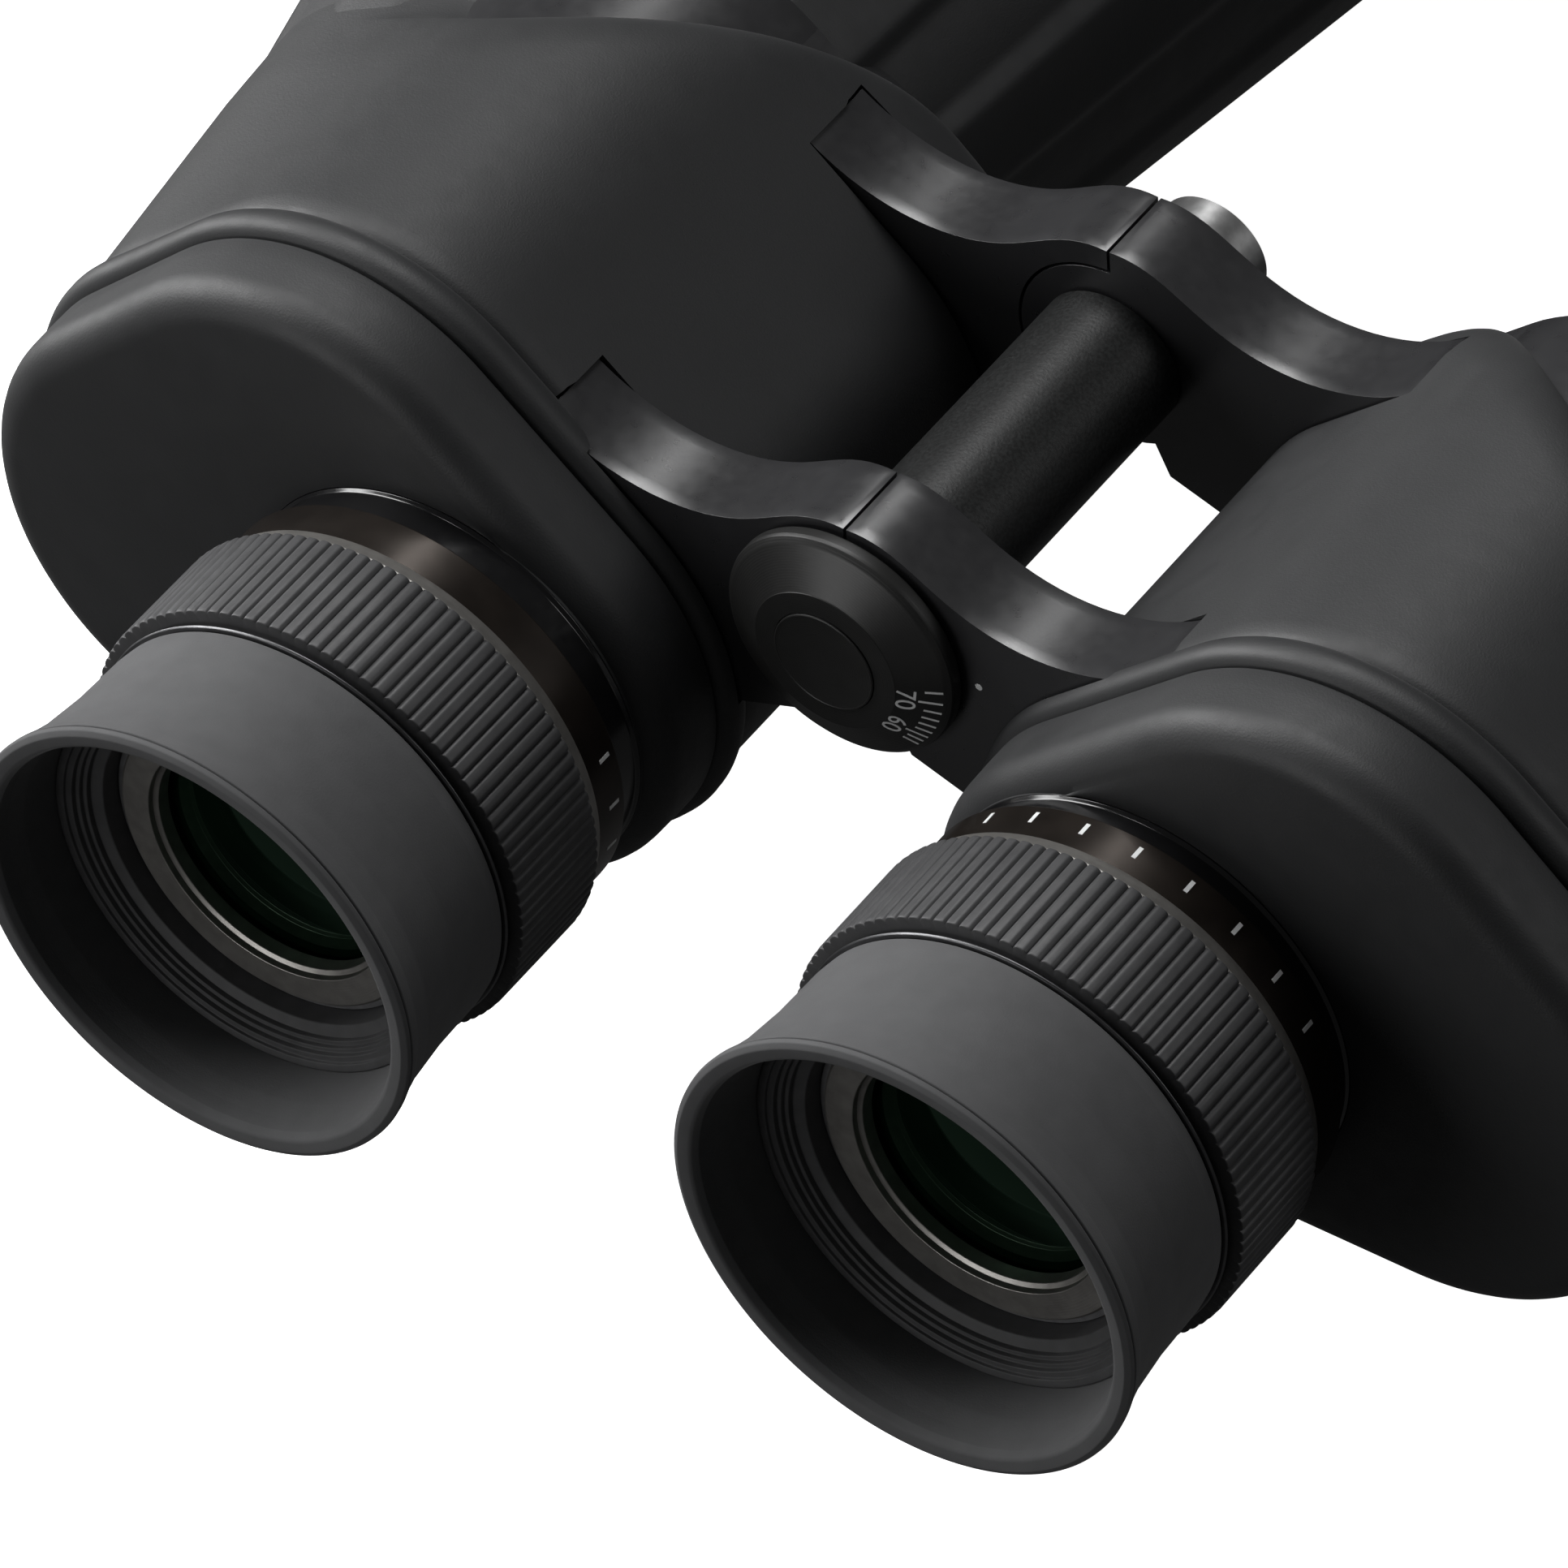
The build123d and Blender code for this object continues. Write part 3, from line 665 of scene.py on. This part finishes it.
def strip_rise(side):
    """Longitudinal raised strips, mirrored on the two sides, that fade out at the bell."""
    def rise(angle, radius, station):
        turn = math.pi - angle if side < 0 else angle
        share = ((turn - STRIP_PHASE) / (2 * math.pi / STRIPS)) % 1.0
        edge = min(share, 1 - share)
        height = 1 - smoothstep((edge - 0.25 + STRIP_EDGE / 2) / STRIP_EDGE)
        ends = smoothstep((station - 40) / 6) * (1 - smoothstep((station - 150) / 9))
        return STRIP_HEIGHT * height * ends if radius > barrel_r(station) - 1.2 else 0.0
    return rise


def make_barrel_armour(side, name):
    axis = (side * OBJECTIVE_X, OBJECTIVE_Z)
    start = 33.0
    outer = [(barrel_r(start) - 0.55, start), (barrel_r(44) - 0.05, 44.0)]
    outer += [(barrel_r(s), float(s)) for s in range(48, 152, 8)]
    outer += [(barrel_r(153), 153.0), (barrel_r(156), 156.0), (barrel_r(159), 159.0)]
    outer += [(barrel_r(CONE_END) - 0.1, CONE_END - 2, 3), (BELL_R - 0.1, BELL_START + 1, 6),
              (BELL_R, 196.0), (BELL_R, 205.5, 0.2), (BELL_R - 0.7, 206.1, 0.2),
              (BELL_R - 0.7, 207.3, 0.2), (BELL_R, 207.9, 0.2), (BELL_R + 0.1, 222.0, 2.0),
              (BELL_R + 0.7, 226.5, 2.0), (BELL_R + 0.7, 231.5, 1.6), (BELL_R - 1.0, BELL_FRONT, 1.2),
              (39.6, BELL_FRONT, 0.8), (39.5, BELL_FRONT - 4), (BELL_R - 2, BELL_FRONT - 4),
              (BELL_R - 2, BELL_START), (barrel_r(start) - 2.0, start)]
    barrel = turned(f"{name}_barrel_skin", axis, outer, 360, strip_rise(side))
    dress(barrel, f"{name}_half", "rubber", RUBBER, f"{name}_barrel_armour")


# ---------------------------------------------------------------- eyepieces
RIBS, RIB_DEPTH = 102, 0.36
FOCUS_R, BAND_R = 22.4, 21.15


def rib_rise(angle, radius, station):
    """Rounded axial ribs on the grip of the focus ring."""
    if radius < FOCUS_R - 0.3:
        return 0.0
    share = (angle * RIBS / (2 * math.pi)) % 1.0
    edge = abs(share - 0.5) * 2
    return -RIB_DEPTH * edge ** 4


def make_focus_ring(name, axis, out):
    def shift(corners):
        return [(c[0], c[1] - out, *c[2:]) for c in corners]
    grip = shift([(16.2, -28.1), (21.2, -28.1), (FOCUS_R - 0.05, -28.05, 0.12), (FOCUS_R, -27.6),
                  (FOCUS_R, -22.0), (FOCUS_R, -17.3), (FOCUS_R - 0.1, -16.9), (FOCUS_R - 0.5, -16.75, 0.1),
                  (20.4, -16.7), (20.4, -17.0), (16.2, -17.0)])
    ring = turned(f"{name}_focus_grip", axis, grip, RIBS * 10, rib_rise)
    dress(ring, f"{name}_focus", "ring_black", RING, f"{name}_focus_ring")
    skirt = turned(f"{name}_focus_skirt", axis, shift([
        (BAND_R, -15.6), (BAND_R, -11.2, 0.14), (20.4, -11.2, 0.1), (20.4, -16.3), (BAND_R, -16.3)]), 160)
    metres = (axis[0] * MM, axis[1] * MM)
    dress(even_normals(skirt), f"{name}_focus", "ring_black", bronzed_skirt(f"{name}_skirt", metres))
    chamfer = turned(f"{name}_focus_chamfer", axis, shift([
        (20.6, -15.3), (BAND_R + 0.3, -15.3, 0.1), (21.95, -16.7, 0.05), (21.95, -16.9),
        (20.6, -16.9)]), 160)
    dress(even_normals(chamfer), f"{name}_focus", "ring_black", satin_metal(f"{name}_chamfer", metres))
    trim = turned(f"{name}_trim_band", axis, shift([
        (17.2, -28.9), (21.15, -28.9, 0.1), (21.3, -28.7, 0.1), (21.1, -28.5, 0.05), (20.7, -28.45, 0.05),
        (20.7, -28.05), (17.2, -28.05)]), 160)
    dress(even_normals(trim), f"{name}_focus", "trim", trim_metal(f"{name}_trim", metres),
          f"{name}_trim_ring")


def make_eyecup(name, axis, out):
    cup = turned(f"{name}_eyecup_skin", axis, [(c[0], c[1] - out, *c[2:]) for c in [
        (19.8, -28.95), (20.9, -28.95, 0.3), (21.1, -30.5, 1), (21.25, -36.0, 6), (21.75, -41.0, 4),
        (22.25, -43.2, 1.0), (22.72, -44.6, 0.2), (22.5, -44.72), (22.5, -44.82), (22.78, -44.9, 0.1),
        (22.7, -45.35, 0.25), (22.2, -45.65, 0.3), (21.0, -45.5, 0.5), (20.6, -44.7, 0.5),
        (20.45, -43.4, 0.5), (20.1, -41.5, 3.0),
        (19.8, -38.0)]], 192, steps=5, sharp=60)
    dress(cup, f"{name}_focus", "cup_rubber", CUP, f"{name}_eyecup")


# radius and height of the fine steps round the inside of the eyecup
HEAD_LINES = [(18.95, 0.3), (18.3, 0.5), (17.85, 0.45), (17.4, 0.5)]


def make_ocular_head(name, axis, out):
    corners = [(19.75, -28.9 - out), (19.75, -37.6 - out, 0.15)]
    depth = 37.5
    for radius, rise in HEAD_LINES:
        corners += [(radius, -depth - out, 0.08), (radius - 0.04, -depth + rise - out, 0.08)]
        depth -= rise
    corners += [(16.3, -depth + 0.35 - out, 0.2), (16.05, -33.6 - out, 0.1), (16.05, -28.9 - out)]
    head = turned(f"{name}_stepped_head", axis, corners, 160)
    dress(even_normals(head), f"{name}_focus", "ring_black", HEAD, f"{name}_ocular_head")


def make_eye_optics(name, axis, out):
    metres = (axis[0] * MM, axis[1] * MM)
    retainer = turned(f"{name}_lens_ring", axis, [(c[0], c[1] - out, *c[2:]) for c in [
        (15.25, -34.1, 0.15), (15.0, -34.3, 0.12), (12.3, -34.3, 0.1), (12.25, -33.7), (11.8, -33.5, 0.1),
        (11.75, -32.2), (14.1, -32.2), (14.1, -33.5), (15.25, -33.5)]], 128)
    dress(even_normals(retainer), f"{name}_ocular", "satin_grey",
          satin_metal(f"{name}_lens_ring", metres), f"{name}_lens_retainer")
    lens = [(0, -33.1 - out)]
    dome_r, rim = 46.0, 11.9
    for k in range(1, 13):
        r = rim * k / 12
        lens.append((r, -33.1 + dome_r - math.sqrt(dome_r ** 2 - r * r) - out))
    lens += [(14.0, lens[-1][1] + 0.1), (14.0, -28.0 - out), (0, -28.0 - out)]
    glass = turned(f"{name}_eye_glass", axis, lens, 128)
    dress(glass, f"{name}_ocular", "lens_glass", EYE_GLASS, f"{name}_eye_lens")


def make_collar(name, axis):
    collar = turned(f"{name}_neck_collar", axis, [
        (16.0, -13.6), (19.6, -13.6, 0.12), (20.0, -13.2, 0.15), (20.0, -8.9, 0.3), (20.25, -8.62, 0.1),
        (20.25, -8.1), (17.5, -8.1), (17.5, -0.6), (16.0, -0.6)], 160)
    dress(even_normals(collar), f"{name}_half", "gloss_black", GLOSS, f"{name}_eyepiece_collar")


# ---------------------------------------------------------------- marks
def slab(bm, corners, lift):
    """Thin raised quad: corners in metres, lifted along a vector."""
    low = [bm.verts.new(c - lift * 0.5) for c in corners]
    high = [bm.verts.new(c + lift) for c in corners]
    bm.faces.new(low[::-1])
    bm.faces.new(high)
    for k in range(4):
        bm.faces.new((low[k], low[(k + 1) % 4], high[(k + 1) % 4], high[k]))


DIOPTRE_FIRST, DIOPTRE_STEP, DIOPTRE_COUNT = 125.0, -14.2, 8
LEFT_TURN = -111.0                # how far the left ring is turned from the right one


def make_dioptre_marks(side, name, axis, out):
    bm = bmesh.new()
    half = math.degrees(0.2 / BAND_R)
    first = DIOPTRE_FIRST + (LEFT_TURN if side < 0 else 0.0)
    for k in range(DIOPTRE_COUNT):
        middle_angle = first + DIOPTRE_STEP * k
        corners = []
        for station, turn in ((-13.4, -half), (-13.4, half), (-12.05, half), (-12.05, -half)):
            a = math.radians(middle_angle + turn)
            corners.append(place(axis[0] + BAND_R * math.cos(a), station - out,
                                 axis[1] + BAND_R * math.sin(a)))
        a = math.radians(middle_angle)
        slab(bm, corners, Vector((math.cos(a), 0, math.sin(a))) * 0.04 * MM)
    marks = finish_mesh(f"{name}_dioptre_marks", bm)
    dress(marks, f"{name}_focus", "dial", PAINT)


def spacing_angle(spacing):
    """Where the index stands on the dial at an eye spacing, in radians below the widest."""
    return 2 * math.asin(SPACING_MAX / 2 / SPACING_ARM) - 2 * math.asin(spacing / 2 / SPACING_ARM)


DIAL_INNER, DIAL_OUTER = (5.8, -2.75), (11.0, -0.2)


def dial_point(radius, angle):
    """Point on the dial's cone, in metres."""
    share = (radius - DIAL_INNER[0]) / (DIAL_OUTER[0] - DIAL_INNER[0])
    station = DIAL_INNER[1] + (DIAL_OUTER[1] - DIAL_INNER[1]) * share
    return place(radius * math.cos(angle), station, radius * math.sin(angle))


def dial_normal(angle):
    slope = (DIAL_OUTER[1] - DIAL_INNER[1]) / (DIAL_OUTER[0] - DIAL_INNER[0])
    return Vector((math.cos(angle) * slope, -1, math.sin(angle) * slope)).normalized()


def make_dial():
    dial = turned("dial_body", (0, 0), [
        (5.1, -1.6), (5.1, -2.3, 0.05), (7.15, -2.16), (7.2, -2.06), (10.9, -0.25, 0.1),
        (11.4, 0.12, 0.1), (11.5, 0.45, 0.12), (11.5, 1.45, 0.2), (9.2, 1.5),
        (9.2, REAR_ARM - 0.05), (4.2, REAR_ARM - 0.05), (4.2, -1.6)], 192)
    dress(even_normals(dial), "left_half", "dial", DIAL, "eye_spacing_dial")
    plate = turned("dial_centre", (0, 0), [
        (0, -2.15), (2.0, -2.18), (3.6, -2.28), (4.82, -2.42, 0.05), (4.92, -2.47, 0.04),
        (5.04, -2.4, 0.03), (5.04, -1.65), (0, -1.6)], 128)
    dress(plate, "left_half", "dial", DIAL, "dial_plate")
    bm = bmesh.new()
    for spacing in range(SPACING_MAX, SPACING_MIN - 1, -2):
        angle = -spacing_angle(spacing)
        inner = 8.9 if spacing % 10 == 0 else 9.4
        half = 0.11
        corners = []
        for radius, across in ((inner, -half), (10.8, -half), (10.8, half), (inner, half)):
            turn = angle + across / radius
            corners.append(dial_point(radius, turn))
        slab(bm, corners, dial_normal(angle) * 0.04 * MM)
    dress(finish_mesh("spacing_ticks", bm), "left_half", "dial", PAINT)
    for spacing in (70, 60):
        make_number(spacing)


NUMBER_R = 7.85


def make_number(spacing):
    angle = -spacing_angle(spacing)
    curve = bpy.data.curves.new(f"number_{spacing}", "FONT")
    curve.body = str(spacing)
    curve.size = 2.5 * MM
    curve.extrude = 0.02 * MM
    curve.align_x, curve.align_y = "CENTER", "CENTER"
    text = bpy.data.objects.new("text", curve)
    bpy.context.scene.collection.objects.link(text)
    mesh = bpy.data.meshes.new_from_object(text.evaluated_get(bpy.context.evaluated_depsgraph_get()))
    bpy.data.objects.remove(text)
    number = bpy.data.objects.new(f"spacing_{spacing}", mesh)
    bpy.context.scene.collection.objects.link(number)
    normal = dial_normal(angle)
    across = Vector((math.sin(angle), 0, -math.cos(angle)))
    up = normal.cross(across).normalized()
    turn = Matrix((across, up, normal)).transposed().to_4x4()
    spot = dial_point(NUMBER_R, angle) + normal * 0.02 * MM
    mesh.transform(Matrix.Translation(spot) @ turn)
    dress(number, "left_half", "dial", PAINT)


INDEX_DOT_X = 12.93


def make_index_dot():
    """Dot on the rear face of the right arm that points at the dial's scale."""
    dot = turned("index_dot", (INDEX_DOT_X, 0), [
        (0, REAR_ARM - 0.06), (0.28, REAR_ARM - 0.05), (0.36, REAR_ARM), (0.3, REAR_ARM + 0.1),
        (0, REAR_ARM + 0.1)], 24)
    dress(dot, "right_half", "dial", PAINT)


# ---------------------------------------------------------------- objectives
def make_objective(side, name):
    axis = (side * OBJECTIVE_X, OBJECTIVE_Z)
    dome_r, rim, apex = 210.0, 35.4, 221.0
    lens = [(0, apex)]
    for k in range(1, 17):
        r = rim * k / 16
        lens.append((r, apex - dome_r + math.sqrt(dome_r ** 2 - r * r)))
    lens += [(36.4, lens[-1][1] - 0.4), (36.4, 214.4), (0, 210.4)]
    glass = turned(f"{name}_front_glass", axis, lens, 160)
    dress(glass, f"{name}_half", "lens_glass", FRONT_GLASS, f"{name}_crown_lens")


# ---------------------------------------------------------------- arms and casting
def bevel_castings():
    for name in SIDES:
        node = frame["nodes"][f"{name}_prism_housing"]
        weld = node.modifiers.new("weld", "WELD")
        weld.merge_threshold = 0.00001
        bevel = node.modifiers.new("bevel", "BEVEL")
        bevel.width = 0.0004
        bevel.segments = 3
        bevel.limit_method = "ANGLE"
        bevel.angle_limit = math.radians(35)
        bevel.harden_normals = False


# ---------------------------------------------------------------- build
dress_cad_nodes()
for name, side in SIDES.items():
    eye_axis = (side * EYE_X, EYE_Z)
    out = LEFT_OUT if side < 0 else 0.0
    make_body_armour(side, name)
    make_cover_pad(side, name)
    make_barrel_armour(side, name)
    make_collar(name, eye_axis)
    make_focus_ring(name, eye_axis, out)
    make_eyecup(name, eye_axis, out)
    make_ocular_head(name, eye_axis, out)
    make_eye_optics(name, eye_axis, out)
    make_dioptre_marks(side, name, eye_axis, out)
    make_objective(side, name)
make_dial()
make_index_dot()
bevel_castings()


# ---------------------------------------------------------------- floor, light, camera
FLOOR_GAP = 0.0002                # below the lowest point of the visual model
BACKDROP_R = 5.0


def dress_stage(obj, name):
    """White studio surface that the camera sees but diffuse and glossy rays from the object do not."""
    look = Look(name, (0.9, 0.9, 0.9), 0.9, Specular_IOR_Level=0.0,
                Emission_Color=(1.0, 1.0, 1.0, 1.0), Emission_Strength=1.0)
    obj.data.materials.append(look.material)
    obj.visible_diffuse = False
    obj.visible_glossy = False


def make_floor():
    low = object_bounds()[0].z - FLOOR_GAP
    size = BACKDROP_R * 1.2
    mesh = bpy.data.meshes.new("floor")
    mesh.from_pydata([(-size, -size, low), (size, -size, low), (size, size, low), (-size, size, low)],
                     [], [(0, 1, 2, 3)])
    floor = bpy.data.objects.new("floor", mesh)
    bpy.context.scene.collection.objects.link(floor)
    dress_stage(floor, "floor")


def make_backdrop():
    bm = bmesh.new()
    bmesh.ops.create_uvsphere(bm, u_segments=48, v_segments=24, radius=BACKDROP_R)
    mesh = bpy.data.meshes.new("backdrop")
    bm.to_mesh(mesh)
    bm.free()
    backdrop = bpy.data.objects.new("backdrop", mesh)
    bpy.context.scene.collection.objects.link(backdrop)
    dress_stage(backdrop, "backdrop")
    backdrop.visible_shadow = False


def area_light(name, place_at, aim, size, power, colour=(1.0, 1.0, 1.0)):
    data = bpy.data.lights.new(name, "AREA")
    data.shape = "RECTANGLE"
    data.size, data.size_y = size
    data.energy = power
    data.color = colour
    light = bpy.data.objects.new(name, data)
    bpy.context.scene.collection.objects.link(light)
    light.location = place_at
    light.rotation_mode = "QUATERNION"
    light.rotation_quaternion = (Vector(aim) - Vector(place_at)).to_track_quat("-Z", "Y")


def make_lights():
    world = bpy.data.worlds.new("studio")
    bpy.context.scene.world = world
    world.use_nodes = True
    world.node_tree.nodes["Background"].inputs["Color"].default_value = (1.0, 1.0, 1.0, 1.0)
    world.node_tree.nodes["Background"].inputs["Strength"].default_value = 0.05
    aim = (0.0, 0.0, 0.0)
    area_light("top", (-0.3, 0.2, 0.85), aim, (0.5, 0.4), 5.6)
    area_light("left", (-0.85, -0.2, 0.5), aim, (0.45, 0.6), 9.5)
    area_light("rear", (-0.35, -1.0, 0.04), aim, (0.5, 0.3), 2.6)
    area_light("rim", (-1.0, 0.1, 0.1), (0.0, 0.0, 0.0), (0.3, 0.5), 4.0)
    area_light("right", (0.9, 0.3, 0.55), aim, (0.3, 0.6), 1.5)


def make_camera():
    data = bpy.data.cameras.new("camera")
    data.sensor_width = 36.0
    data.lens = 311.8
    data.shift_x, data.shift_y = 0.01335, 0.0219
    data.clip_start, data.clip_end = 0.05, 50.0
    camera = bpy.data.objects.new("camera", data)
    bpy.context.scene.collection.objects.link(camera)
    camera.location = (0.4985, -0.7175, 0.7968)
    tilt, roll, heading = 45.263, 3.216, 34.428
    camera.rotation_euler = (math.radians(tilt), math.radians(roll), math.radians(heading))
    bpy.context.scene.camera = camera


make_floor()
make_backdrop()
make_lights()
make_camera()
bpy.context.scene.view_settings.view_transform = "Standard"
